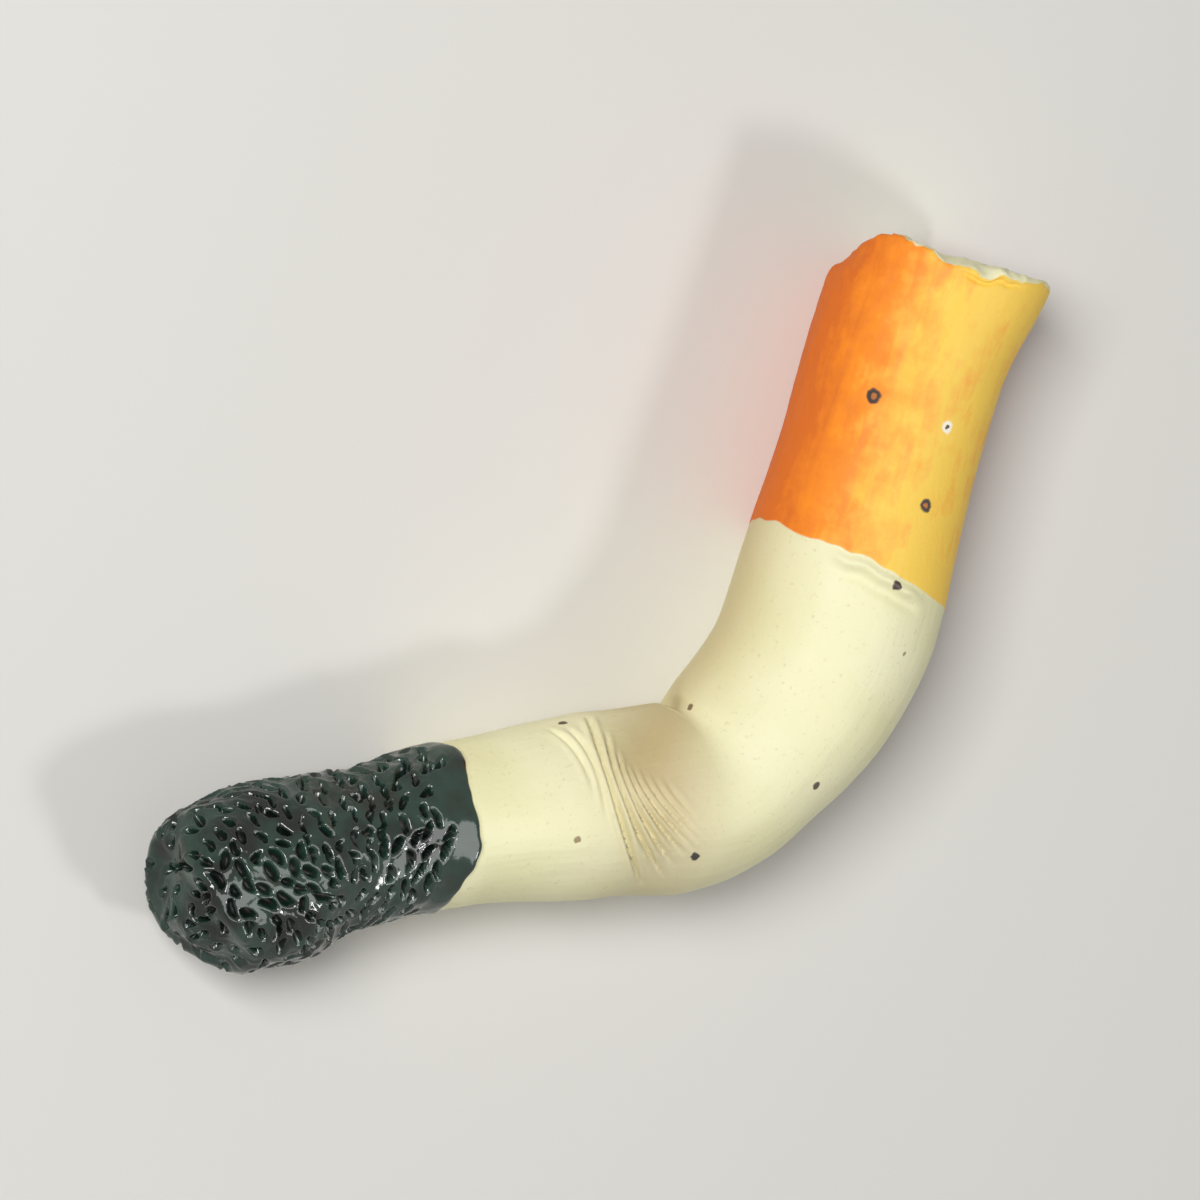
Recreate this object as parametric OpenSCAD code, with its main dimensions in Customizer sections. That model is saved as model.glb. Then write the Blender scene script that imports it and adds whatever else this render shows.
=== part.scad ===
// A stubbed-out cigarette butt modelled by hand in clay: one rolled coil,
// bent at a pinched elbow, with a burnt tip at one end and a torn filter at
// the other. It lies on its side, with the plane of the bend level.
// Millimetres, +Z up. The origin is under the middle of its box, on the
// surface that it rests on. The tip points along +X and the filter to -Y.

/* [Lengths along the coil] */
// From the blunt burnt end to the edge of the black glaze
tip_len = 13.2; // [11:0.1:17]
// Bare clay between the black glaze and the elbow
lower_arm_len = 10.5; // [8:0.5:14]
// Straight run between the elbow and the soft bend
mid_len = 1.2; // [0.4:0.2:4]
// Straight run from the soft bend to the torn end of the filter
filter_len = 16; // [11:0.2:21]

/* [Bends] */
// How far the burnt end droops outwards, in degrees
tip_droop = 12; // [0:1:20]
// How far the coil turns at the pinched elbow, in degrees
elbow_turn = 37; // [20:1:50]
// Radius left on the inside of the elbow
elbow_inner_r = 1; // [0.8:0.1:3]
// How far the coil turns in the soft bend, in degrees
soft_turn = 32; // [15:1:45]
// Radius on the inside of the soft bend
soft_inner_r = 7.2; // [4:0.2:10]
// How far the coil wanders to the inside of the bend behind the glaze
wander = 0.45; // [0:0.05:0.8]

/* [Thickness] */
// Radius of the blunt burnt end where its edge rounds off
blunt_r = 3.3; // [2.8:0.05:4.2]
// Length over which the burnt end rounds off
cap_len = 2.9; // [1.6:0.1:4]
// Slant of the burnt end, in degrees, which leaves its outer side shorter
tip_slant = 5; // [0:1:22]
// Radius of the bulb behind the burnt end
tip_r = 3.75; // [3:0.05:4.6]
// Radius at the waist behind the burnt end
waist_r = 3.1; // [2.5:0.1:4]
// Radius at the edge of the black glaze
glaze_edge_r = 3.45; // [2.8:0.05:4.2]
// Radius of the lower arm where it is squashed into creases
squashed_r = 3.95; // [3.2:0.05:5]
// Radius at the elbow
elbow_r = 4.25; // [3.2:0.05:5.1]
// Radius in the soft bend
soft_r = 4.4; // [3.5:0.1:5.3]
// Radius of the swelling at the edge of the orange glaze
collar_r = 4.55; // [3.6:0.05:5.4]
// Radius at the middle of the filter
filter_r = 4.2; // [3.3:0.1:5.1]
// Radius at the torn end of the filter, before its flare
end_r = 4.25; // [3.4:0.05:5.1]

/* [Torn end] */
// How far the rim flares out on the outer side of the bend
flare = 0.75; // [0:0.05:0.9]
// Length of the flare along the filter
flare_len = 5; // [2:0.5:8]
// Height of the pulled-up peak of the rim
peak = 0.25; // [0:0.05:1.2]
// How far the pressed side of the rim drops back
drop = 1.3; // [0:0.1:2]
// How far the pressed side of the rim rounds in
tuck = 0.9; // [0:0.1:1.8]
// Depth of the two small tears in the rim
tear = 0.3; // [0:0.05:0.6]
// Depth of the hollow in the end face
dish = 0.5; // [0:0.1:1.2]

/* [Pinched elbow] */
// Number of creases where the clay was squashed in front of the elbow
crease_count = 5; // [1:1:6]
// Distance between creases
crease_gap = 0.6; // [0.4:0.05:0.9]
// Depth of a crease
crease_depth = 0.1; // [0:0.02:0.16]
// Depth of the fold on the inside of the elbow
fold_depth = 0.85; // [0:0.05:1]
// How far the outer side of the elbow is pressed flat
elbow_flat = 0.35; // [0:0.05:0.6]

/* [Hidden] */

side_count = 40;       // points round the coil
coarse_step = 1.1;     // ring spacing on plain stretches
elbow_step = 0.33;     // ring spacing round the elbow
soft_step = 0.77;      // ring spacing in the soft bend
fine_step = 0.2;       // ring spacing across the creases
rim_step = 0.45;       // ring spacing at the torn end
cap_rings = 9;         // rings over the blunt burnt end
cap_power = 2.6;       // 2 is a half ball, more is blunter
edge_round = 0.3;      // rounding of the torn rim
dish_rise = 1.6;       // how steeply the hollow falls away from the rim

// Places along the coil
blunt_share = 0.5;     // of the cap, where its radius is blunt_r
bulb_behind = 1.6;     // from the cap to the bulb
waist_share = 0.68;    // of the burnt end, where the waist is
droop_share = 0.45;    // of the burnt end that curves as it droops
squash_share = 0.8;    // of crease_start, where the squashed radius is
slant_share = 0.5;     // of the burnt end, over which the slant fades out
rim_len = 2.2;         // length over which the rim's peak and drop fade out
tuck_len = 2.6;        // length over which the pressed side rounds in

// Places round the coil and spreads round it, in degrees
slant_place = 160;
flare_place = 150;
flare_spread = 70;
peak_place = 24;
peak_spread = 22;
press_place = 312;
press_spread = 50;
tear_places = [62, 80];
tear_spread = 9;

// Creases, each an arc across the top of the arm
crease_width = 0.16;   // half width of a crease
crease_fan = 1.5;      // how far they sweep towards the elbow at crease_reach
crease_start = 4.3;    // from the start of the elbow back to the middle of the creases
crease_turn = 55;      // place round the coil where a crease is furthest from the elbow
crease_reach = 75;
crease_ends = [25, 150];
crease_fades = [30, 40];

// The fold inside the elbow, and the flat outside it
fold_ahead = 2.4;      // past the start of the elbow
fold_place = 335;
fold_width = 1.1;
fold_spread = 28;
fold_sweep = 4;        // how far it runs towards the tip by fold_reach round
fold_reach = 90;
flat_place = 165;
flat_spread = 55;
flat_len = 3.5;

// The coil's middle wanders to the inside by these shares of wander, and lies
// a little to the outside along the filter
crease_wander = 0.6;
elbow_wander = -0.4;
collar_out = 0.15;
filter_out = 0.05;
end_out = 0.2;

elbow_mid_r = elbow_r + elbow_inner_r;
soft_mid_r = soft_r + soft_inner_r;
elbow_arc = elbow_mid_r * elbow_turn * PI / 180;
soft_arc = soft_mid_r * soft_turn * PI / 180;
arm_len = tip_len + lower_arm_len;
droop_len = tip_len * droop_share;
bulb_place = cap_len + bulb_behind;
elbow_end = arm_len + elbow_arc;
soft_start = elbow_end + mid_len;
soft_end = soft_start + soft_arc;
soft_middle = (soft_start + soft_end) / 2;
filter_middle = soft_end + filter_len / 2;
coil_len = soft_end + filter_len;
crease_middle = arm_len - crease_start;

// Each stretch is [length, turn in degrees]
stretches = [
    [droop_len, tip_droop],
    [arm_len - droop_len, 0],
    [elbow_arc, elbow_turn],
    [mid_len, 0],
    [soft_arc, soft_turn],
    [filter_len, 0]
];

// Each is [place along the coil, radius there]
radius_marks = [
    [cap_len * blunt_share, blunt_r],
    [bulb_place, tip_r],
    [tip_len * waist_share, waist_r],
    [tip_len, glaze_edge_r],
    [arm_len - crease_start * squash_share, squashed_r],
    [arm_len, elbow_r],
    [elbow_end, elbow_r],
    [soft_middle, soft_r],
    [soft_end, collar_r],
    [filter_middle, filter_r],
    [coil_len, end_r]
];

// Each is [place along the coil, how far its middle lies to the inside]
wander_marks = [
    [0, -wander],
    [tip_len, wander],
    [crease_middle, wander * crease_wander],
    [arm_len, wander * elbow_wander],
    [soft_start, 0],
    [soft_end, -collar_out],
    [filter_middle, -filter_out],
    [coil_len, -end_out]
];

// Height of the coil's middle at the three places that it rests on
height_marks = [
    [bulb_place, tip_r],
    [soft_end, collar_r],
    [coil_len, end_r]
];

function limit(u) = max(0, min(1, u));
function ease(u) = let (v = limit(u)) v * v * (3 - 2 * v);
function bump(x, width) = exp(-pow(x / width, 2));
// Angle between two places round the coil, 0 to 180
function apart(a, b) = abs((a - b + 540) % 360 - 180);

// Value at s between marks of [place, value]
function along(marks, s, k = 0) =
    (k >= len(marks) - 2 || s <= marks[k + 1][0])
        ? let (span = marks[k + 1][0] - marks[k][0])
          marks[k][1] + (marks[k + 1][1] - marks[k][1]) * ease((s - marks[k][0]) / span)
        : along(marks, s, k + 1);

// A pose is [x, y, heading]
function go_on(pose, length, turn) =
    turn == 0
        ? [pose[0] + length * cos(pose[2]), pose[1] + length * sin(pose[2]), pose[2]]
        : let (r = length / (turn * PI / 180), next = pose[2] + turn)
          [pose[0] + r * (sin(next) - sin(pose[2])),
           pose[1] - r * (cos(next) - cos(pose[2])),
           next];

function pose_at(s, k = 0, pose = [0, 0, 180 - tip_droop]) =
    (k == len(stretches) - 1 || s <= stretches[k][0])
        ? go_on(pose, s, stretches[k][1] * s / stretches[k][0])
        : pose_at(s - stretches[k][0], k + 1, go_on(pose, stretches[k][0], stretches[k][1]));

// The angle a is 0 on the inside of the bend, 90 on top and 180 outside
function round_cap(s) =
    s >= cap_len ? 1 : pow(1 - pow(1 - limit(s / cap_len), cap_power), 1 / cap_power);

function crease(s, a) =
    let (shown = ease((a - crease_ends[0]) / crease_fades[0])
                 * ease((crease_ends[1] - a) / crease_fades[1]),
         middle = crease_middle + crease_fan * pow((a - crease_turn) / crease_reach, 2))
    shown * crease_depth * max([for (i = [0:crease_count - 1])
        bump(s - middle - (i - (crease_count - 1) / 2) * crease_gap, crease_width)]);

function fold(s, a) =
    let (round = apart(a, fold_place),
         middle = arm_len + fold_ahead - fold_sweep * ease(round / fold_reach))
    fold_depth * bump(s - middle, fold_width) * bump(round, fold_spread);

function outer_flat(s, a) =
    elbow_flat * bump(s - arm_len - elbow_arc / 2, flat_len) * bump(apart(a, flat_place), flat_spread);

// 0 before the flare, 1 at the rim
function near_end(s, length) = ease((s - coil_len + length) / length);

function coil_radius(s, a) =
    along(radius_marks, s) * round_cap(s) - crease(s, a) - fold(s, a) - outer_flat(s, a)
    + flare * near_end(s, flare_len) * bump(apart(a, flare_place), flare_spread)
    - tuck * near_end(s, tuck_len) * bump(apart(a, press_place), press_spread);

function rim_shift(a) =
    peak * bump(apart(a, peak_place), peak_spread)
    - drop * bump(apart(a, press_place), press_spread)
    - tear * max([for (place = tear_places) bump(apart(a, place), tear_spread)]);

// A point of the skin: inset moves it in from the side, back from the end
function skin(s, a, inset = 0, back = 0) =
    let (pose = pose_at(s),
         rho = coil_radius(s, a) - inset,
         slant = rho * tan(tip_slant) * cos(a - slant_place)
                 * (1 - ease(s / (tip_len * slant_share))),
         shift = rim_shift(a) * near_end(s, rim_len) + slant - back,
         side = along(wander_marks, s) + rho * cos(a))
    [pose[0] - side * sin(pose[2]) + shift * cos(pose[2]),
     pose[1] + side * cos(pose[2]) + shift * sin(pose[2]),
     along(height_marks, s) + rho * sin(a)];

// A point of the end face, at a share of the way in from the rim
function face(a, share) =
    let (rim = skin(coil_len, a, edge_round),
         pose = pose_at(coil_len - dish * ease(share * dish_rise)),
         middle = [pose[0], pose[1], end_r])
    rim * (1 - share) + middle * share;

creases_from = crease_middle - crease_count * crease_gap / 2 - fine_step;

// Places of the rings along the coil
cap_places = [for (i = [1:cap_rings]) cap_len * (1 - cos(90 * i / cap_rings))];

function spread(from, to, step) =
    let (n = ceil((to - from) / step)) [for (i = [1:n]) from + (to - from) * i / n];

ring_places = concat(
    cap_places,
    spread(cap_len, creases_from, coarse_step),
    spread(creases_from, arm_len, fine_step),
    spread(arm_len, soft_start, elbow_step),
    spread(soft_start, soft_end, soft_step),
    spread(soft_end, coil_len - flare_len, coarse_step),
    spread(coil_len - flare_len, coil_len - edge_round, rim_step)
);

function turn_at(j) = 360 * j / side_count;

face_shares = [0.12, 0.35, 0.65];  // rings over the end face, as shares of the way in
first_round = 0.35;                // share of edge_round at the rim's first rounded ring
first_inset = first_round * edge_round;

rings = concat(
    [for (s = ring_places) [for (j = [0:side_count - 1]) skin(s, turn_at(j))]],
    [[for (j = [0:side_count - 1]) skin(coil_len, turn_at(j), first_inset, first_inset)]],
    [[for (j = [0:side_count - 1]) skin(coil_len, turn_at(j), edge_round)]],
    [for (share = face_shares) [for (j = [0:side_count - 1]) face(turn_at(j), share)]]
);

ring_points = [for (ring = rings) each ring];
tip_pose = pose_at(0);
tip_side = wander_marks[0][1];
tip_point = [
    tip_pose[0] - tip_side * sin(tip_pose[2]),
    tip_pose[1] + tip_side * cos(tip_pose[2]),
    tip_r
];
end_point = face(0, 1);
raw_points = concat(ring_points, [tip_point, end_point]);

// The box is centred over the origin and stands on the floor
box_low = [for (k = [0:2]) min([for (p = raw_points) p[k]])];
box_high = [for (k = [0:2]) max([for (p = raw_points) p[k]])];
base_middle = [(box_low[0] + box_high[0]) / 2, (box_low[1] + box_high[1]) / 2, box_low[2]];
points = [for (p = raw_points) p - base_middle];

last_ring = len(rings) - 1;
tip_index = len(ring_points);
end_index = tip_index + 1;

function at(i, j) = i * side_count + (j % side_count);

faces = concat(
    [for (j = [0:side_count - 1]) [tip_index, at(0, j), at(0, j + 1)]],
    [for (i = [0:last_ring - 1], j = [0:side_count - 1]) each [
        [at(i, j), at(i + 1, j), at(i + 1, j + 1)],
        [at(i, j), at(i + 1, j + 1), at(i, j + 1)]
    ]],
    [for (j = [0:side_count - 1]) [end_index, at(last_ring, j + 1), at(last_ring, j)]]
);

module clay_butt() {
    color("ivory")
        polyhedron(points = points, faces = faces, convexity = 6);
}

clay_butt();
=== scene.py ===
# A stubbed-out cigarette butt modelled by hand in clay and fired: one bent coil of cream
# stoneware, poked full of pits and glazed black at the burnt tip, brushed orange at the filter.
import math

import bpy
import numpy as np
from mathutils import Matrix, Vector, noise


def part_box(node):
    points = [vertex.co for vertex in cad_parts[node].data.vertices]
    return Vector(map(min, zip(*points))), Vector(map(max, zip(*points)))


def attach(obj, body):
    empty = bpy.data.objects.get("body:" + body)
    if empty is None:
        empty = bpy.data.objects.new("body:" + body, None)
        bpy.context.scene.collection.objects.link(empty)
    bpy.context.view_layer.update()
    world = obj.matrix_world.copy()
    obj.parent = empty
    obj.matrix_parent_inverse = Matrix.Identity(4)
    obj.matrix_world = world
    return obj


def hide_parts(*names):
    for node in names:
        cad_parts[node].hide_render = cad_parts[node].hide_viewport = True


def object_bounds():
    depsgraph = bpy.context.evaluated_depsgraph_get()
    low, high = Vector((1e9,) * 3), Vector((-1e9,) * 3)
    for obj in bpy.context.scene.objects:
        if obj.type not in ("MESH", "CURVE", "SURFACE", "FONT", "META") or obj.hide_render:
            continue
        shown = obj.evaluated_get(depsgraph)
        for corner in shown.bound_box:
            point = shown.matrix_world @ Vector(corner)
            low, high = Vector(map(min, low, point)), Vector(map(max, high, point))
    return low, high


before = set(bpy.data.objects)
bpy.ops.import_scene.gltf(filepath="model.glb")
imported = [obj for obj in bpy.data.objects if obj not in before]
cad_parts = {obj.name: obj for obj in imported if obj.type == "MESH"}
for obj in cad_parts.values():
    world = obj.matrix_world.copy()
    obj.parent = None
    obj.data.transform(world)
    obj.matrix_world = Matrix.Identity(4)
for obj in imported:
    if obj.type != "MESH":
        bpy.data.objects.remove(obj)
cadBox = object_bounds()
bpy.context.scene.view_settings.view_transform = "Standard"
print("frame loaded, nodes:", sorted(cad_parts))

# The camera looks down on the butt where it lies, rolled so that the tip points left
viewFrom = {
    "azimuth": 63.15,      # degrees, 0 looks along +Y
    "elevation": 55.96,
    "roll": 111.6,
    "distance": 0.30,      # metres
    "widthShown": 0.0500,  # metres across the picture at the butt
    "nudge": (-0.0006, -0.0004),   # metres to the right and up, to centre the outline
    "sensor": 36.0,        # mm
    "clipStart": 0.01,
}


def cameraAxes():
    around = math.radians(viewFrom["azimuth"])
    above = math.radians(viewFrom["elevation"])
    back = Vector((math.sin(around) * math.cos(above), -math.cos(around) * math.cos(above), math.sin(above)))
    level = Vector((math.cos(around), math.sin(around), 0.0))
    right = Matrix.Rotation(math.radians(viewFrom["roll"]), 3, back) @ level
    return right, back.cross(right), back


def makeCamera():
    right, up, back = cameraAxes()
    lens = bpy.data.cameras.new("camera")
    camera = bpy.data.objects.new("camera", lens)
    bpy.context.scene.collection.objects.link(camera)
    target = (cadBox[0] + cadBox[1]) / 2 + right * viewFrom["nudge"][0] + up * viewFrom["nudge"][1]
    turned = Matrix((right, up, back)).transposed().to_4x4()
    camera.matrix_world = Matrix.Translation(target + back * viewFrom["distance"]) @ turned
    lens.sensor_width = viewFrom["sensor"]
    lens.lens = lens.sensor_width * viewFrom["distance"] / viewFrom["widthShown"]
    lens.clip_start = viewFrom["clipStart"]
    bpy.context.scene.camera = camera


makeCamera()
print("camera made")

# Sizes of the coil in mm, the same as the CAD part's, and angles in degrees
coil = {
    "tipLen": 13.2,        # burnt end to the edge of the black glaze
    "lowerArmLen": 10.5,   # on to the elbow
    "midLen": 1.2,         # elbow to soft bend
    "filterLen": 16.0,     # soft bend to torn end
    "tipDroop": 12.0,
    "droopShare": 0.45,    # of the burnt end that curves as it droops
    "elbowTurn": 37.0,
    "elbowInnerR": 1.0,
    "softTurn": 32.0,
    "softInnerR": 7.2,
    "wander": 0.45,        # how far the hand-rolled middle strays sideways
    "creaseWander": 0.6,   # shares of it at the creases and the elbow
    "elbowWander": 0.4,
    "collarOut": 0.15,
    "filterOut": 0.05,
    "endOut": 0.2,
    "bluntR": 3.3,         # radii from the burnt end to the torn end
    "tipR": 3.75,
    "waistR": 3.1,
    "glazeEdgeR": 3.45,
    "squashedR": 3.95,
    "elbowR": 4.25,
    "softR": 4.4,
    "collarR": 4.55,
    "filterR": 4.2,
    "endR": 4.25,
    "capLen": 2.9,
    "capPower": 2.6,       # 2 is a half ball, more is blunter
    "bluntShare": 0.5,     # of the cap, where its radius is bluntR
    "bulbBehind": 1.6,     # from the cap to the bulb
    "waistShare": 0.68,    # of the burnt end, where the waist is
    "squashShare": 0.8,    # of creaseStart, where the squashed radius is
    "tipSlant": 5.0,
    "slantPlace": 160.0,
    "slantShare": 0.5,     # of the burnt end, over which the slant fades out
    "foldDepth": 0.85,
    "foldAhead": 2.4,      # past the start of the elbow
    "foldWidth": 1.1,
    "foldPlace": 335.0,
    "foldSpread": 28.0,
    "foldSweep": 4.0,      # how far it runs towards the tip by foldReach round
    "foldReach": 90.0,
    "elbowFlat": 0.35,
    "flatLen": 3.5,
    "flatPlace": 165.0,
    "flatSpread": 55.0,
    "creaseStart": 4.3,    # from the elbow back to the middle of the creases
    "flare": 0.75,
    "flareLen": 5.0,
    "flarePlace": 150.0,
    "flareSpread": 70.0,
    "rimLen": 2.2,         # length over which the rim's peak and drop fade out
    "peak": 0.25,
    "peakPlace": 24.0,
    "peakSpread": 22.0,
    "drop": 1.3,
    "tuck": 0.9,
    "tuckLen": 2.6,
    "pressPlace": 312.0,   # where the rim was pressed in
    "pressSpread": 50.0,
    "tear": 0.3,
    "tearPlaces": (62.0, 80.0),
    "tearSpread": 9.0,
    "dish": 0.5,
    "dishRise": 1.6,       # how steeply the hollow falls away from the rim
    "edgeRound": 0.3,
}
elbowArc = (coil["elbowR"] + coil["elbowInnerR"]) * math.radians(coil["elbowTurn"])
softArc = (coil["softR"] + coil["softInnerR"]) * math.radians(coil["softTurn"])
armLen = coil["tipLen"] + coil["lowerArmLen"]
droopLen = coil["tipLen"] * coil["droopShare"]
bulbPlace = coil["capLen"] + coil["bulbBehind"]
elbowEnd = armLen + elbowArc
softStart = elbowEnd + coil["midLen"]
softEnd = softStart + softArc
filterMiddle = softEnd + coil["filterLen"] / 2
coilLen = softEnd + coil["filterLen"]

# Each is (length, turn in degrees)
stretches = [
    (droopLen, coil["tipDroop"]),
    (armLen - droopLen, 0.0),
    (elbowArc, coil["elbowTurn"]),
    (coil["midLen"], 0.0),
    (softArc, coil["softTurn"]),
    (coil["filterLen"], 0.0),
]
# Each is (place along the coil, radius there)
radiusMarks = [
    (coil["capLen"] * coil["bluntShare"], coil["bluntR"]),
    (bulbPlace, coil["tipR"]),
    (coil["tipLen"] * coil["waistShare"], coil["waistR"]),
    (coil["tipLen"], coil["glazeEdgeR"]),
    (armLen - coil["creaseStart"] * coil["squashShare"], coil["squashedR"]),
    (armLen, coil["elbowR"]),
    (elbowEnd, coil["elbowR"]),
    ((softStart + softEnd) / 2, coil["softR"]),
    (softEnd, coil["collarR"]),
    (filterMiddle, coil["filterR"]),
    (coilLen, coil["endR"]),
]
# Each is (place along the coil, how far its middle lies to the inside)
wanderMarks = [
    (0.0, -coil["wander"]),
    (coil["tipLen"], coil["wander"]),
    (armLen - coil["creaseStart"], coil["wander"] * coil["creaseWander"]),
    (armLen, -coil["wander"] * coil["elbowWander"]),
    (softStart, 0.0),
    (softEnd, -coil["collarOut"]),
    (filterMiddle, -coil["filterOut"]),
    (coilLen, -coil["endOut"]),
]
# Height of the coil's middle at the three places that it rests on
heightMarks = [
    (bulbPlace, coil["tipR"]),
    (softEnd, coil["collarR"]),
    (coilLen, coil["endR"]),
]


# 0 to 1 with a soft start and end
def ease(u):
    v = np.clip(u, 0.0, 1.0)
    return v * v * (3.0 - 2.0 * v)


# 1 at x = 0, falling to nothing about two widths away
def bump(x, width):
    return np.exp(-((x / width) ** 2))


# Degrees from one place round the coil to another, the short way
def apart(a, b):
    return np.abs((a - b + 540.0) % 360.0 - 180.0)


# The value at s, eased from each mark to the next
def along(marks, s):
    place = np.array([mark[0] for mark in marks])
    value = np.array([mark[1] for mark in marks])
    k = np.clip(np.searchsorted(place, s) - 1, 0, len(marks) - 2)
    return value[k] + (value[k + 1] - value[k]) * ease((s - place[k]) / (place[k + 1] - place[k]))


# Where the coil's middle is at s, seen from above, and which way it heads
def coilPose(s):
    x, y, heading = np.zeros_like(s), np.zeros_like(s), np.zeros_like(s)
    startX, startY, h, start = 0.0, 0.0, math.radians(180.0 - coil["tipDroop"]), 0.0
    for length, turn in stretches:
        on = s >= start  # later stretches write over this one
        run = s[on] - start
        if turn == 0.0:
            x[on] = startX + run * math.cos(h)
            y[on] = startY + run * math.sin(h)
            heading[on] = h
            startX += length * math.cos(h)
            startY += length * math.sin(h)
        else:
            bendR = length / math.radians(turn)
            x[on] = startX + bendR * (np.sin(h + run / bendR) - math.sin(h))
            y[on] = startY - bendR * (np.cos(h + run / bendR) - math.cos(h))
            heading[on] = h + run / bendR
            startX += bendR * (math.sin(h + math.radians(turn)) - math.sin(h))
            startY -= bendR * (math.cos(h + math.radians(turn)) - math.cos(h))
            h += math.radians(turn)
        start += length
    return x, y, heading


def nearEnd(s, length):
    return ease((s - coilLen + length) / length)


def coilRadius(s, a):
    u = np.clip(s / coil["capLen"], 0.0, 1.0)
    cap = (1.0 - (1.0 - u) ** coil["capPower"]) ** (1.0 / coil["capPower"])
    foldTurn = apart(a, coil["foldPlace"])
    foldMiddle = armLen + coil["foldAhead"] - coil["foldSweep"] * ease(foldTurn / coil["foldReach"])
    fold = coil["foldDepth"] * bump(s - foldMiddle, coil["foldWidth"]) * bump(foldTurn, coil["foldSpread"])
    flatTurn = bump(apart(a, coil["flatPlace"]), coil["flatSpread"])
    flat = coil["elbowFlat"] * bump(s - armLen - elbowArc / 2, coil["flatLen"]) * flatTurn
    flareTurn = bump(apart(a, coil["flarePlace"]), coil["flareSpread"])
    flare = coil["flare"] * nearEnd(s, coil["flareLen"]) * flareTurn
    pressed = bump(apart(a, coil["pressPlace"]), coil["pressSpread"])
    tuck = coil["tuck"] * nearEnd(s, coil["tuckLen"]) * pressed
    return along(radiusMarks, s) * cap - fold - flat + flare - tuck


# The angle a is 0 on the inside of the bend, 90 on top and 180 outside; inset goes in from
# the skin and back goes back along the coil
def coilPoint(s, a, inset, back):
    x, y, h = coilPose(s)
    rho = coilRadius(s, a) - inset
    turn = np.radians(a)
    lowTurn = turn - math.radians(coil["slantPlace"])
    slant = rho * math.tan(math.radians(coil["tipSlant"])) * np.cos(lowTurn)
    slant = slant * (1.0 - ease(s / coil["tipLen"] / coil["slantShare"]))
    tears = np.maximum.reduce([bump(apart(a, place), coil["tearSpread"]) for place in coil["tearPlaces"]])
    rim = coil["peak"] * bump(apart(a, coil["peakPlace"]), coil["peakSpread"])
    rim = rim - coil["drop"] * bump(apart(a, coil["pressPlace"]), coil["pressSpread"])
    shift = (rim - coil["tear"] * tears) * nearEnd(s, coil["rimLen"]) + slant - back
    side = along(wanderMarks, s) + rho * np.cos(turn)
    return np.stack([
        x - side * np.sin(h) + shift * np.cos(h),
        y + side * np.cos(h) + shift * np.sin(h),
        along(heightMarks, s) + rho * np.sin(turn),
    ], axis=-1)


# How finely the skin is meshed, in mm
mesh = {
    "tipSides": 300,
    "bodySides": 150,
    "tipTo": 14.0,        # the tip's finer mesh runs a little past the black glaze
    "tipStep": 0.095,
    "creasesFrom": 17.4,
    "creasesTo": 24.6,
    "creaseStep": 0.10,
    "borderFrom": 35.4,   # round the orange's edge
    "borderTo": 38.6,
    "borderStep": 0.12,
    "plainStep": 0.20,
    "rimStep": 0.08,
    "roundRings": 4,      # over the rounding of the torn rim
    "faceRings": 14,      # over the torn end face, as shares of the way in
    "faceFrom": 0.02,
    "faceSpan": 0.95,
    "faceCrowd": 1.3,     # more than 1 crowds them at the rim
    "walkSteps": (4000, 2000),   # for measuring the way along the cap and along the tip
}


# Rings of (place, inset, back, share of the way in over the end face), even steps apart
def ringList():
    capSteps, tipSteps = mesh["walkSteps"]
    fine = coil["capLen"] * np.linspace(0.0, 1.0, capSteps) ** 3
    fine = np.append(fine, np.linspace(coil["capLen"], mesh["tipTo"], tipSteps)[1:])
    top = np.full_like(fine, 90.0)
    profile = np.stack([fine, coilRadius(fine, top)], axis=1)
    walked = np.append(0.0, np.cumsum(np.linalg.norm(np.diff(profile, axis=0), axis=1)))
    count = int(walked[-1] / mesh["tipStep"])
    endFace["place"], endFace["walked"] = fine, walked
    tip = np.interp(np.linspace(0.0, walked[-1], count + 1)[1:], walked, fine)
    edge = coil["edgeRound"]
    stops = [
        (mesh["creasesFrom"], "plainStep"),
        (mesh["creasesTo"], "creaseStep"),
        (mesh["borderFrom"], "plainStep"),
        (mesh["borderTo"], "borderStep"),
        (coilLen - coil["rimLen"], "plainStep"),
        (coilLen - edge, "rimStep"),
    ]
    rings = [(s, 0.0, 0.0, 0.0) for s in tip]
    fineRings = len(rings)
    start = mesh["tipTo"]
    for stop, step in stops:
        steps = max(1, round((stop - start) / mesh[step]))
        rings += [(start + (stop - start) * (i + 1) / steps, 0.0, 0.0, 0.0) for i in range(steps)]
        start = stop
    for i in range(1, mesh["roundRings"] + 1):
        turn = math.radians(90.0 * i / mesh["roundRings"])
        rings.append((coilLen, edge * (1.0 - math.cos(turn)), edge * (1.0 - math.sin(turn)), 0.0))
    for i in range(1, mesh["faceRings"]):
        share = mesh["faceFrom"] + mesh["faceSpan"] * (i / mesh["faceRings"]) ** mesh["faceCrowd"]
        rings.append((coilLen, 0.0, 0.0, share))
    return np.array(rings), fineRings


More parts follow.
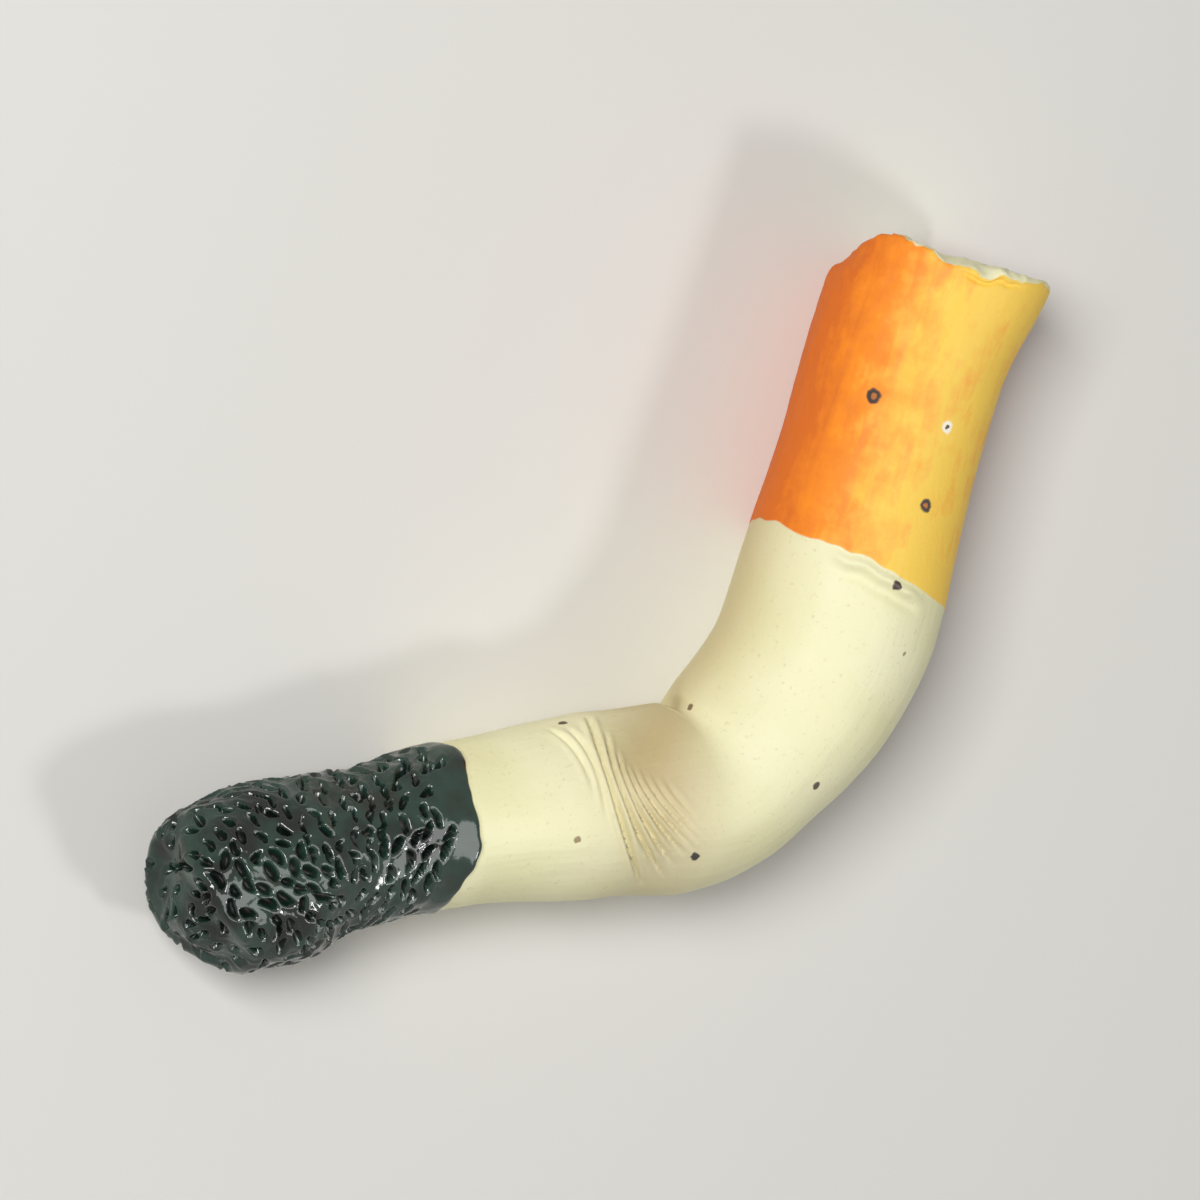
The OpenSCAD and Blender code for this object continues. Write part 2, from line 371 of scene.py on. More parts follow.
def skinGrid(rings, sides):
    a = np.broadcast_to(360.0 * np.arange(sides) / sides, (len(rings), sides)).copy()
    s, inset, back, share = (np.repeat(rings[:, k:k + 1], sides, axis=1) for k in range(4))
    points = coilPoint(s, a, inset, back)
    rim = coilPoint(s, a, coil["edgeRound"] + 0.0 * s, 0.0 * s)
    x, y, _ = coilPose(coilLen - coil["dish"] * ease(share * coil["dishRise"]))
    middle = np.stack([x, y, np.full_like(x, coil["endR"])], axis=-1)
    blend = share[..., None]
    points = np.where(blend > 0.0, rim * (1.0 - blend) + middle * blend, points)
    around = np.roll(points, -1, axis=1) - np.roll(points, 1, axis=1)
    onward = np.gradient(points, axis=0)
    normal = np.cross(around, onward)
    normal /= np.linalg.norm(normal, axis=-1, keepdims=True)
    return {"s": s, "a": a, "inset": inset, "share": share, "point": points, "normal": normal,
            "onward": onward, "around": around}


# The blunt burnt end is cut off slanting: its edge runs at this place along the coil
endFace = {
    "edge": 0.4,
    "slantedEdge": 2.6,     # further along on the underside
    "slantPlace": 150.0,
    "slantWidth": 45.0,
    "sunk": 0.30,
    "sinkLen": 1.3,
    "ridge": 0.18,
    "ridgeWidth": 0.55,
}


# How far past that edge, in mm walked over the skin
def pastEdge(s, a):
    lowTurn = bump(apart(a, endFace["slantPlace"]), endFace["slantWidth"])
    edge = endFace["edge"] + endFace["slantedEdge"] * lowTurn
    place, walked = endFace["place"], endFace["walked"]
    return np.interp(s, place, walked) - np.interp(edge, place, walked)


# The hand-made surface, in mm
handwork = {
    "lumpSize": 5.0,
    "lumpHeight": 0.07,
    "smoothSize": 1.4,
    "smoothHeight": 0.020,
    "blackProud": 0.07,     # the black glaze is a thick coat
    "blackRound": 0.30,     # width of its rounded edge
    "blackLumps": ((2.1, 0.22, 3.0), (0.9, 0.07, 5.0)),   # each is (size, height, seed)
    "orangeProud": 0.02,
    "orangeRound": 0.18,
    "tornSize": 0.55,
    "tornHeight": 0.13,
    "tornLumpSize": 1.5,
    "tornLumpHeight": 0.22,
    "tornLumpRise": 6.0,    # how soon the lumps grow from the rim inwards
    "tornFrom": 0.05,       # past the rim, where the coat is torn away
    "tornWave": 0.22,
    "tornPeak": 0.30,
    "tornPeakPlace": 12.0,
    "tornPeakSpread": 30.0,
    "tornBlend": 0.12,
    "insetReach": 1.2,      # counts the way over the rounding and the face as well
    "faceReach": 9.0,
    "raggedRim": 0.13,
    "raggedFine": 0.7,
    "raggedLen": 0.9,
    "raggedFade": 7.0,
    "mealySize": 0.5,       # the filter's skin is rubbed rough near the rim's peak
    "mealyHeight": 0.09,
    "mealyFrom": 41.0,
    "mealyLen": 4.0,
    "mealyPlace": 8.0,
    "mealySpread": 38.0,
    "lipHeight": 0.19,      # the clay swells in a lip before the orange
    "lipFrom": 40.0,
    "lipTo": 108.0,
    "lipFade": 15.0,
    "lipCrest": (0.42, 0.2),    # each is (mm before the orange's edge, width)
    "lipGroove": (0.95, 0.25),
    "lipGrooveShare": 0.5,
    "crackDepth": 0.16,     # under the rim on its upper side
    "crackWidth": 0.10,
    "crackBack": 0.50,
    "crackWave": 0.16,
    "crackFrom": 66.0,
    "crackTo": 112.0,
    "crackFades": (10.0, 14.0),
    "hollowDepth": 0.55,    # beside the creases, where the elbow was pinched
    "hollowPlace": 38.0,
    "hollowSpread": 36.0,
    "hollowWidth": 1.5,
    "hollowBack": 0.2,      # before the start of the elbow
    "hollowSweep": 3.0,
    "hollowReach": 80.0,
}
# Painted shade: where the clay is coloured a darker warm tan, in the pinched elbow hollow and along the
# inside of the bend, where shade falls
paintedElbowShade = {
    "ahead": 0.7,           # past the middle of the hollow
    "width": 2.6,
    "least": 0.50,
    "place": 40.0,
    "spread": 60.0,
    "inside": 0.75,         # how much of it runs along the inside of the bend
    "insidePlace": 345.0,
    "insideSpread": 38.0,
    "insideFrom": 18.0,
    "insideLen": 5.0,
}
# Each is (place on top, sweep to the elbow at 60 degrees round, from, to, depth)
creases = [
    (18.0, -0.7, 4.0, 70.0, 0.13),
    (18.4, -0.2, 8.0, 84.0, 0.14),
    (18.8, 1.05, 0.0, 140.0, 0.35),
    (19.2, 1.65, 20.0, 132.0, 0.32),
    (19.6, 2.1, 34.0, 122.0, 0.28),
    (19.95, 2.9, 44.0, 116.0, 0.24),
    (20.3, 3.5, 46.0, 110.0, 0.20),
    (20.65, 4.1, 50.0, 106.0, 0.17),
    (21.0, 4.6, 54.0, 103.0, 0.13),
    (21.4, 5.0, 58.0, 101.0, 0.09),
]
# How a crease fades out at its two ends, and how the clay swells beside it
creaseShape = {
    "top": 58.0,            # place round the coil from which they sweep
    "reach": 60.0,
    "fadeIn": 16.0,
    "fadeOut": 22.0,
    "width": 0.10,
    "swell": 0.40,          # share of the depth that stands up on both sides
    "swellOff": 0.24,
    "swellWidth": 0.15,
}
# Pits poked into the wet clay of the tip with a pointed tool, in mm and degrees
pits = {
    "seed": 11,
    "tries": 26000,
    "gap": (0.52, 1.10),    # least distance to the next pit
    "halfLen": (0.22, 0.44),
    "halfWidth": (0.12, 0.175),
    "depth": (0.42, 0.66),
    "curve": 0.9,
    "skew": 0.45,
    "floor": 0.5,           # the pit is flat to here and rises over the wall, in half widths
    "wall": 0.8,
    "burr": 0.06,           # share of the depth that stands up round it
    "burrPlace": 1.6,
    "burrWidth": 0.45,
    "skinOnly": 0.9,        # a pit reaches no skin further from its own than this
    "lean": 26.0,           # degrees from straight round, one way before leanTurns and back after
    "leanTurns": 7.0,
    "leanOver": 3.0,
    "leanStray": 60.0,
    "leanStraySize": 2.4,
    "leanJitter": 14.0,
    "endTo": 2.0,           # the pits stand upright on the blunt end, up to here
    "margin": 1.35,         # smooth band at the edge of the glaze
    "marginWave": 0.35,
    "marginRipple": 0.11,   # radians from one column of the mesh to the next
    "bareEnd": 0.85,        # share of the end face left smooth
    "bareGap": 3.0,
    "bareTo": 0.2,
}


# Smooth noise over the skin, from another part of the noise for each seed
def fieldOf(points, size, seed):
    flat = points.reshape(-1, 3) / size
    shift = Vector((seed * 7.3, seed * 3.1, seed * 5.7))
    return np.array([noise.noise(Vector(p) + shift) for p in flat]).reshape(points.shape[:-1])


# A closed wave round the coil, the same on each ring
def waveRound(a, ripples, seed):
    turns = np.radians(a[0])
    row = [noise.noise(Vector((math.cos(t) * ripples, math.sin(t) * ripples, seed))) for t in turns]
    return np.broadcast_to(np.array(row), a.shape)


# Where the glazes end along the coil: each edge was dipped or brushed a little askew
glazeEdges = {
    "black": {
        "place": 12.25,
        "askew": 0.85,
        "askewTo": 14.0,
        "waves": ((0.45, 1.3, 2.5), (0.12, 5.0, 7.5)),   # each is (height, ripples, seed)
    },
    "orange": {
        "place": 36.75,
        "askew": 1.05,
        "askewTo": 18.0,
        "waves": ((0.35, 1.6, 4.5), (0.14, 6.0, 9.5)),
    },
}


def pastGlaze(name, s, a):
    edge = glazeEdges[name]
    past = s - (edge["place"] + edge["askew"] * np.cos(np.radians(a - edge["askewTo"])))
    for height, ripples, seed in edge["waves"]:
        past = past - height * waveRound(a, ripples, seed)
    return past


def creaseRelief(s, a):
    shape = creaseShape
    height = np.zeros_like(s)
    for place, sweep, start, stop, depth in creases:
        off = s - place - sweep * ((a - shape["top"]) / shape["reach"]) ** 2
        shown = ease((a - start) / shape["fadeIn"]) * ease((stop - a) / shape["fadeOut"])
        before = shape["swell"] * bump(off + shape["swellOff"], shape["swellWidth"])
        after = shape["swell"] * bump(off - shape["swellOff"], shape["swellWidth"])
        height -= depth * shown * (bump(off, shape["width"]) - before - after)
    return height


def scatterPits(grid):
    rng = np.random.default_rng(pits["seed"])
    edge = pastGlaze("black", grid["s"], grid["a"])
    rows, columns = grid["s"].shape
    girth = np.linalg.norm(grid["around"], axis=-1).mean(axis=1)
    share = girth / girth.max()  # thinner rings take fewer pits
    chosen = []
    centres = np.empty((0, 3))
    for _ in range(pits["tries"]):
        i = rng.integers(rows)
        j = rng.integers(columns)
        margin = pits["margin"] - pits["marginWave"] * math.sin(j * pits["marginRipple"])
        if rng.random() > share[i] or edge[i, j] > -margin:
            continue
        centre = grid["point"][i, j]
        gap = rng.uniform(*pits["gap"])
        beyond = pastEdge(grid["s"][i:i + 1, j], grid["a"][i:i + 1, j])[0]
        if beyond < pits["bareTo"] and rng.random() < pits["bareEnd"]:
            gap *= pits["bareGap"]
        if len(centres) and np.min(np.linalg.norm(centres - centre, axis=1)) < gap:
            continue
        centres = np.vstack([centres, centre])
        chosen.append((i, j))
    return chosen, rng


def pitRelief(grid):
    chosen, rng = scatterPits(grid)
    height = np.zeros_like(grid["s"])
    cavity = np.zeros_like(grid["s"])
    for i, j in chosen:
        centre = grid["point"][i, j]
        normal = grid["normal"][i, j]
        around = grid["around"][i, j] / np.linalg.norm(grid["around"][i, j])
        lean = pits["lean"] * math.tanh((grid["s"][i, j] - pits["leanTurns"]) / pits["leanOver"])
        lean += pits["leanStray"] * noise.noise(Vector(centre / pits["leanStraySize"]))
        lean = math.radians(lean + rng.normal(0.0, pits["leanJitter"]))
        onEnd = 1.0 - ease(grid["s"][i, j] / pits["endTo"])
        upright = np.array([0.0, 0.0, 1.0]) - normal * normal[2]
        around = around * (1.0 - onEnd) * math.copysign(1.0, around[2]) + upright * onEnd
        around /= np.linalg.norm(around)
        stroke = around * math.cos(lean) + np.cross(around, normal) * math.sin(lean)
        across = np.cross(normal, stroke)
        offset = grid["point"] - centre
        u = offset @ stroke / rng.uniform(*pits["halfLen"])
        v = offset @ across / rng.uniform(*pits["halfWidth"])
        v += rng.uniform(-pits["curve"], pits["curve"]) * u * u
        v += pits["skew"] * math.copysign(1.0, rng.uniform(-1.0, 1.0)) * u
        near = np.abs(offset @ normal) < pits["skinOnly"]
        far = np.sqrt(u * u + v * v)
        depth = rng.uniform(*pits["depth"])
        hole = near * (1.0 - ease((far - pits["floor"]) / pits["wall"]))
        burr = near * bump(far - pits["burrPlace"], pits["burrWidth"])
        rest = 1.0 - cavity
        height += depth * rest * (pits["burr"] * burr - hole)
        cavity = np.maximum(cavity, hole)
    print("pits poked:", len(chosen))
    return height, cavity


# How far the coat is torn away: past the rim and over the end face, further at the peak
def tornAway(grid):
    a = grid["a"]
    over = handwork["insetReach"] * grid["inset"] + handwork["faceReach"] * grid["share"]
    past = grid["s"] - coilLen + over
    atPeak = bump(apart(a, handwork["tornPeakPlace"]), handwork["tornPeakSpread"])
    start = handwork["tornFrom"] + handwork["tornWave"] * waveRound(a, ripples=6.0, seed=8.5)
    start = start + handwork["tornPeak"] * atPeak
    return ease((past - start) / handwork["tornBlend"] + 0.5)


# The filter's rough patch, the lip before the orange and the crack under the rim
def filterRelief(grid, orange, torn):
    s, a, points = grid["s"], grid["a"], grid["point"]
    rubbed = bump(apart(a, handwork["mealyPlace"]), handwork["mealySpread"]) * (1.0 - torn)
    rubbed = rubbed * ease((s - handwork["mealyFrom"]) / handwork["mealyLen"])
    height = handwork["mealyHeight"] * rubbed * fieldOf(points, handwork["mealySize"], seed=7.0)
    fade = handwork["lipFade"]
    shown = ease((a - handwork["lipFrom"]) / fade) * ease((handwork["lipTo"] - a) / fade)
    crestPlace, crestWidth = handwork["lipCrest"]
    groovePlace, grooveWidth = handwork["lipGroove"]
    groove = handwork["lipGrooveShare"] * bump(orange + groovePlace, grooveWidth)
    height += handwork["lipHeight"] * shown * (bump(orange + crestPlace, crestWidth) - groove)
    crackPlace = coilLen - handwork["crackBack"] + handwork["crackWave"] * waveRound(a, ripples=7.0, seed=5.5)
    fadeIn, fadeOut = handwork["crackFades"]
    shown = ease((a - handwork["crackFrom"]) / fadeIn) * ease((handwork["crackTo"] - a) / fadeOut)
    height -= handwork["crackDepth"] * bump(s - crackPlace, handwork["crackWidth"]) * shown
    return height


# Moves the torn rim in and out along the coil
def ragRim(grid):
    s, a = grid["s"], grid["a"]
    ragged = waveRound(a, ripples=9.0, seed=1.5)
    ragged = ragged + handwork["raggedFine"] * waveRound(a, ripples=22.0, seed=3.5)
    rimOnly = nearEnd(s, handwork["raggedLen"]) * (1.0 - ease(grid["share"] * handwork["raggedFade"]))
    _, _, heading = coilPose(s)
    axis = np.stack([np.cos(heading), np.sin(heading), np.zeros_like(s)], axis=-1)
    grid["point"] += axis * (handwork["raggedRim"] * ragged * rimOnly)[..., None]


def addRelief(grid, tip):
    s, a, share, points = grid["s"], grid["a"], grid["share"], grid["point"]
    black, orange = pastGlaze("black", s, a), pastGlaze("orange", s, a)
    torn = tornAway(grid)
    coat = ease(0.5 - black / handwork["blackRound"])
    height = handwork["lumpHeight"] * fieldOf(points, handwork["lumpSize"], seed=1.0)
    height += handwork["smoothHeight"] * fieldOf(points, handwork["smoothSize"], seed=2.0)
    height += handwork["blackProud"] * coat
    for size, lumps, seed in handwork["blackLumps"]:
        height += coat * lumps * fieldOf(points, size, seed)
    if tip:
        beyond = pastEdge(s, a)
        height += endFace["ridge"] * bump(beyond, endFace["ridgeWidth"])
        height -= endFace["sunk"] * ease(-beyond / endFace["sinkLen"])
    sweep = handwork["hollowSweep"] * ease(apart(a, coil["foldPlace"]) / handwork["hollowReach"])
    hollowMiddle = armLen - handwork["hollowBack"] - sweep
    hollowTurn = bump(apart(a, handwork["hollowPlace"]), handwork["hollowSpread"])
    height -= handwork["hollowDepth"] * bump(s - hollowMiddle, handwork["hollowWidth"]) * hollowTurn
    height += handwork["orangeProud"] * ease(0.5 + orange / handwork["orangeRound"]) * (1.0 - torn)
    height += creaseRelief(s, a)
    height += filterRelief(grid, orange, torn)
    height += torn * handwork["tornHeight"] * fieldOf(points, handwork["tornSize"], seed=4.0)
    tornLumps = handwork["tornLumpHeight"] * fieldOf(points, handwork["tornLumpSize"], seed=6.0)
    height += ease(share * handwork["tornLumpRise"]) * tornLumps
    cavity = np.zeros_like(s)
    if tip:
        poked, cavity = pitRelief(grid)
        height += poked
    grid["point"] = points + grid["normal"] * height[..., None]
    ragRim(grid)
    rho = coilRadius(s, a) * (1.0 - share)
    turn = np.radians(a)
    grid["unbent"] = np.stack([s, rho * np.cos(turn), rho * np.sin(turn)], axis=-1)
    # Painted shade for the material: tan in the pinched hollow and along the inside of the bend
    shadeShape = paintedElbowShade
    pinchTurn = shadeShape["least"] + (1.0 - shadeShape["least"]) * bump(apart(a, shadeShape["place"]), shadeShape["spread"])
    pinched = bump(s - hollowMiddle - shadeShape["ahead"], shadeShape["width"]) * pinchTurn
    innerSide = shadeShape["inside"] * bump(apart(a, shadeShape["insidePlace"]), shadeShape["insideSpread"])
    innerSide = innerSide * ease((s - shadeShape["insideFrom"]) / shadeShape["insideLen"])
    grid["pastBlack"], grid["pastOrange"], grid["torn"], grid["cavity"] = black, orange, torn, cavity
    grid["hollow"] = np.maximum(pinched, innerSide)


# Faces from one ring of points to the next, which has as many points or half as many
def joinRings(first, second, startA, startB):
    faces = []
    for j in range(second):
        here, ahead = startB + j, startB + (j + 1) % second
        if first == second:
            faces.append((startA + j, startA + (j + 1) % second, ahead, here))
        else:
            left, middle, right = startA + 2 * j, startA + 2 * j + 1, startA + (2 * j + 2) % first
            faces += [(left, middle, here), (middle, ahead, here), (middle, right, ahead)]
    return faces


def makeButt():
    rings, fineRings = ringList()
    tip = skinGrid(rings[:fineRings + 1], mesh["tipSides"])
    body = skinGrid(rings[fineRings - 1:], mesh["bodySides"])
    for grid, part in ((tip, slice(0, -1)), (body, slice(1, None))):
        for name in grid:
            grid[name] = grid[name][part]
    low = np.minimum(tip["point"].min(axis=(0, 1)), body["point"].min(axis=(0, 1)))
    high = np.maximum(tip["point"].max(axis=(0, 1)), body["point"].max(axis=(0, 1)))
    addRelief(tip, True)
    addRelief(body, False)
    print("relief done, rings:", len(rings))
    nodeLow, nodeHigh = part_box("clay_butt")
    middle = np.array([(low[0] + high[0]) / 2, (low[1] + high[1]) / 2, low[2]])
    home = np.array([(nodeLow.x + nodeHigh.x) / 2, (nodeLow.y + nodeHigh.y) / 2, nodeLow.z])

    def flat(name):
        wide = tip[name].shape[2:]
        return np.concatenate([tip[name].reshape((-1,) + wide), body[name].reshape((-1,) + wide)])

    places = (flat("point") - middle) * 0.001 + home  # mm to metres
    pole = places[:mesh["tipSides"]].mean(axis=0)
    centre = places[-mesh["bodySides"]:].mean(axis=0)
    places = np.vstack([places, pole, centre])
    places[:, 2] = np.maximum(places[:, 2], nodeLow.z)  # flat where it rests

    sides = [mesh["tipSides"]] * fineRings + [mesh["bodySides"]] * (len(rings) - fineRings)
    starts = np.append(0, np.cumsum(sides))
    poleIndex = int(starts[-1])
    faces = [(poleIndex, (j + 1) % sides[0], j) for j in range(sides[0])]
    for i in range(len(sides) - 1):
        faces += joinRings(sides[i], sides[i + 1], int(starts[i]), int(starts[i + 1]))
    last = int(starts[-2])
    faces += [(poleIndex + 1, last + j, last + (j + 1) % sides[-1]) for j in range(sides[-1])]

    data = bpy.data.meshes.new("butt_skin")
    data.from_pydata(places.tolist(), [], faces)
    data.validate()
    # What the material reads at each point
    for name in ("pastBlack", "pastOrange", "torn", "cavity", "hollow"):
        value = flat(name)
        layer = data.attributes.new(name, "FLOAT", "POINT")
        layer.data.foreach_set("value", np.append(value, [value[0], value[-1]]).astype(np.float32))
    unbent = np.vstack([flat("unbent"), [[0.0, 0.0, 0.0], [coilLen, 0.0, 0.0]]])
    layer = data.attributes.new("unbent", "FLOAT_VECTOR", "POINT")
    layer.data.foreach_set("vector", unbent.astype(np.float32).ravel())
    addUnwrap(data, places, sides, starts)
    data.shade_smooth()
    butt = bpy.data.objects.new("stoneware_butt", data)
    bpy.context.scene.collection.objects.link(butt)
    print("butt meshed, triangles:", sum(len(face) - 2 for face in faces))
    return butt, tip, body, middle, home


# The skin unrolled to one sheet: along it by the distance walked, across it by the angle
unwrap = {
    "endGap": 0.0003,      # metres left at both ends for the two end points
    "border": 0.002,       # share of the sheet left free on each side
}


def addUnwrap(data, places, sides, starts):
    ringOf = np.repeat(np.arange(len(sides)), sides)
    column = np.concatenate([np.arange(count) / count for count in sides])
    firsts = places[starts[:-1]]
    walked = np.append(0.0, np.cumsum(np.linalg.norm(np.diff(firsts, axis=0), axis=1)))
    total = walked[-1] + 2 * unwrap["endGap"]
    inside = 1.0 - 2 * unwrap["border"]
    u = np.append((unwrap["endGap"] + walked[ringOf]) / total, [0.0, 1.0])
    u = np.clip(u * inside + unwrap["border"], 0.0, 1.0)
    v = np.append(column, [-1.0, -1.0])
    loops = np.empty(len(data.loops), dtype=np.int64)
    data.loops.foreach_get("vertex_index", loops)
    uv = np.stack([u[loops], v[loops]], axis=1)
    for polygon in data.polygons:
        span = slice(polygon.loop_start, polygon.loop_start + polygon.loop_total)
        across = uv[span, 1]
        known = across >= 0.0
        if across[known].max() - across[known].min() > 0.5:
            across[known & (across < 0.5)] += 1.0
        across[~known] = across[known].mean()
    uv[:, 1] = uv[:, 1] * inside + unwrap["border"]
    data.uv_layers.new(name="OFBake").data.foreach_set("uv", uv.astype(np.float32).ravel())


butt, tipGrid, bodyGrid, middlePoint, homePoint = makeButt()
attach(butt, "root")
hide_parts("clay_butt")


def hexColour(text):
    channels = [int(text[k:k + 2], 16) / 255.0 for k in (1, 3, 5)]
    return tuple(c / 12.92 if c <= 0.04045 else ((c + 0.055) / 1.055) ** 2.4 for c in channels) + (1.0,)


# Adds a node: settings are its own properties, inputs are values or sockets to link
def addNode(tree, kind, inputs=None, **settings):
    node = tree.nodes.new(kind)
    for name, value in settings.items():
        setattr(node, name, value)
    for socket, value in (inputs or {}).items():
        if isinstance(value, bpy.types.NodeSocket):
            tree.links.new(value, node.inputs[socket])
        else:
            node.inputs[socket].default_value = value
    return node


noiseSpread = (0.3, 0.7)   # most of a noise texture lies between these


# Cream stoneware, smoothed with wet fingers and left bare: matt, warm, faintly speckled, with painted shade
# in the elbow hollow and along the inside of the bend
creamStonewareLook = {
    "clay": "#EEEABA",
    "pale": "#F6F2CC",
    # tan of the toasted flecks, also used for the painted shade in the elbow
    "tanFleckAndShade": "#B59C6A",
    "cloudSize": 5.0,      # mm
    "paleFrom": (0.4, 0.7),    # where the clouds turn pale
    "grainSize": 0.22,     # clay grain, drawn a little coarse so that it shows
    "grainDepth": 0.010,
    "fleckFrom": (0.62, 0.80),     # only the coarsest grains are toasted
    "fleckShare": 0.30,
    "rollSize": (5.0, 0.45),   # faint lines from rolling the coil: along it and across it
    "rollDepth": 0.030,
    "roughness": (0.48, 0.66),
    "elbowShadeMix": 0.80,     # painted shade: how far the clay turns tan in the elbow hollow and along the inside of the bend
}


def creamStoneware(tree, place, unbent, hollow):
    look = creamStonewareLook
    cloud = addNode(tree, "ShaderNodeTexNoise", {
        "Vector": place, "Scale": 1.0 / look["cloudSize"], "Detail": 3.0})
    grain = addNode(tree, "ShaderNodeTexNoise", {
        "Vector": place, "Scale": 1.0 / look["grainSize"], "Detail": 2.0})
    pale = addNode(tree, "ShaderNodeMapRange", {
        "Value": cloud.outputs["Fac"], "From Min": look["paleFrom"][0], "From Max": look["paleFrom"][1]})
    body = addNode(tree, "ShaderNodeMix", {
        0: pale.outputs["Result"], 6: hexColour(look["clay"]), 7: hexColour(look["pale"])}, data_type="RGBA")
    fleck = addNode(tree, "ShaderNodeMapRange", {
        "Value": grain.outputs["Fac"], "From Min": look["fleckFrom"][0], "From Max": look["fleckFrom"][1],
        "To Max": look["fleckShare"]})
    flecked = addNode(tree, "ShaderNodeMix", {
        0: fleck.outputs["Result"], 6: body.outputs[2], 7: hexColour(look["tanFleckAndShade"])}, data_type="RGBA")
    # Painted shade: the clay is mixed towards tan in the elbow hollow and along the inside of the bend
    tint = addNode(tree, "ShaderNodeMath", {0: hollow, 1: look["elbowShadeMix"]}, operation="MULTIPLY")
    colour = addNode(tree, "ShaderNodeMix", {
        0: tint.outputs[0], 6: flecked.outputs[2], 7: hexColour(look["tanFleckAndShade"])}, data_type="RGBA")
    rough = addNode(tree, "ShaderNodeMapRange", {
        "Value": cloud.outputs["Fac"], "From Min": noiseSpread[0], "From Max": noiseSpread[1],
        "To Min": look["roughness"][0], "To Max": look["roughness"][1]})
    rollLong, rollWide = look["rollSize"]
    stretched = addNode(tree, "ShaderNodeMapping", {
        "Vector": unbent, "Scale": (1.0 / rollLong, 1.0 / rollWide, 1.0 / rollWide)})
    roll = addNode(tree, "ShaderNodeTexNoise", {"Vector": stretched.outputs[0], "Scale": 1.0, "Detail": 2.0})
    rolled = addNode(tree, "ShaderNodeMath", {
        0: roll.outputs["Fac"], 1: look["rollDepth"]}, operation="MULTIPLY")
    height = addNode(tree, "ShaderNodeMath", {
        0: grain.outputs["Fac"], 1: look["grainDepth"], 2: rolled.outputs[0]}, operation="MULTIPLY_ADD")
    return colour.outputs[2], rough.outputs["Result"], height.outputs[0]


# Orange underglaze, brushed on along the filter: satin, streaky, deeper where it is thick, with painted light
# and shade round the coil: pale golden on the lit side, deep orange on the shaded side
orangeUnderglazeLook = {
    "deepShaded": "#DA6A00",
    "orange": "#FA8E04",
    "thinLit": "#FED24C",
    "streakLen": 2.6,      # mm along the filter
    "streakWidth": 0.55,   # mm across it
    "streakShare": 0.30,
    "streakStray": 0.6,
    "mottleSize": 1.3,
    "mottleShare": 0.42,
    "mottleRough": 0.62,
    "grainSize": 0.24,
    "grainDepth": 0.022,
    "thinLitPlace": 105.0,    # degrees round the coil where the coat is thinnest and the painted light brightest
    "thinLitShare": 0.44,
    "coatAndLightFrom": (0.27, 0.80),      # deep and shaded at the first, thin and lit at the second
    "streakDepth": 0.014,
    "roughness": (0.60, 0.76),
}


def orangeUnderglaze(tree, place, unbent):
    look = orangeUnderglazeLook
    streakLen, streakWidth = look["streakLen"], look["streakWidth"]
    stretched = addNode(tree, "ShaderNodeMapping", {
        "Vector": unbent, "Scale": (1.0 / streakLen, 1.0 / streakWidth, 1.0 / streakWidth)})
    streak = addNode(tree, "ShaderNodeTexNoise", {
        "Vector": stretched.outputs[0], "Scale": 1.0, "Detail": 3.0, "Distortion": look["streakStray"]})
    mottle = addNode(tree, "ShaderNodeTexNoise", {
        "Vector": place, "Scale": 1.0 / look["mottleSize"], "Detail": 5.0, "Roughness": look["mottleRough"]})
    mottled = addNode(tree, "ShaderNodeMath", {
        0: mottle.outputs["Fac"], 1: look["mottleShare"]}, operation="MULTIPLY")
    both = addNode(tree, "ShaderNodeMath", {
        0: streak.outputs["Fac"], 1: look["streakShare"], 2: mottled.outputs[0]}, operation="MULTIPLY_ADD")
    # Painted light and shade: the colour turns pale golden towards the lit side of the filter and deep orange
    # on the shaded side, added to the coat's streaks and mottling
    thinTurn = math.radians(look["thinLitPlace"])
    thinLitSide = (0.0, math.cos(thinTurn) / coil["filterR"], math.sin(thinTurn) / coil["filterR"])
    towardThinLit = addNode(tree, "ShaderNodeVectorMath", {0: unbent, 1: thinLitSide}, operation="DOT_PRODUCT")
    coat = addNode(tree, "ShaderNodeMath", {
        0: towardThinLit.outputs["Value"], 1: look["thinLitShare"], 2: both.outputs[0]}, operation="MULTIPLY_ADD")
    thinnessAndLight = addNode(tree, "ShaderNodeMapRange", {
        "Value": coat.outputs[0], "From Min": look["coatAndLightFrom"][0], "From Max": look["coatAndLightFrom"][1]})
    ramp = addNode(tree, "ShaderNodeValToRGB", {"Fac": thinnessAndLight.outputs["Result"]})
    ramp.color_ramp.elements[0].color = hexColour(look["deepShaded"])
    ramp.color_ramp.elements[1].color = hexColour(look["thinLit"])
    ramp.color_ramp.elements.new(0.5).color = hexColour(look["orange"])
    rough = addNode(tree, "ShaderNodeMapRange", {
        "Value": streak.outputs["Fac"], "From Min": noiseSpread[0], "From Max": noiseSpread[1],
        "To Min": look["roughness"][0], "To Max": look["roughness"][1]})
    grain = addNode(tree, "ShaderNodeTexNoise", {
        "Vector": place, "Scale": 1.0 / look["grainSize"], "Detail": 2.0})
    grained = addNode(tree, "ShaderNodeMath", {
        0: grain.outputs["Fac"], 1: look["grainDepth"]}, operation="MULTIPLY")
    height = addNode(tree, "ShaderNodeMath", {
        0: both.outputs[0], 1: look["streakDepth"], 2: grained.outputs[0]}, operation="MULTIPLY_ADD")
    return ramp.outputs["Color"], rough.outputs["Result"], height.outputs[0]


# Black glaze, dipped thick over the poked tip: wet-looking, greenish where the light catches it, with painted
# shade in the pits
blackGlazeLook = {
    "glaze": "#0A1411",
    "green": "#1E3A30",
    "broken": "#1E241C",   # where it ran thin over an edge
    "paintedPitShade": "#020202",   # painted shade in the pits
    "cloudSize": 2.4,
    "rippleSize": 0.5,
    "rippleDepth": 0.020,
    "greenPlaces": (0.35, 0.52, 0.68),     # glaze, green and broken along the clouds
    "pitShadeFrom": (0.25, 0.85),    # share of a pit's depth
    "pitRoughness": 0.6,
    "roughness": (0.08, 0.20),
}


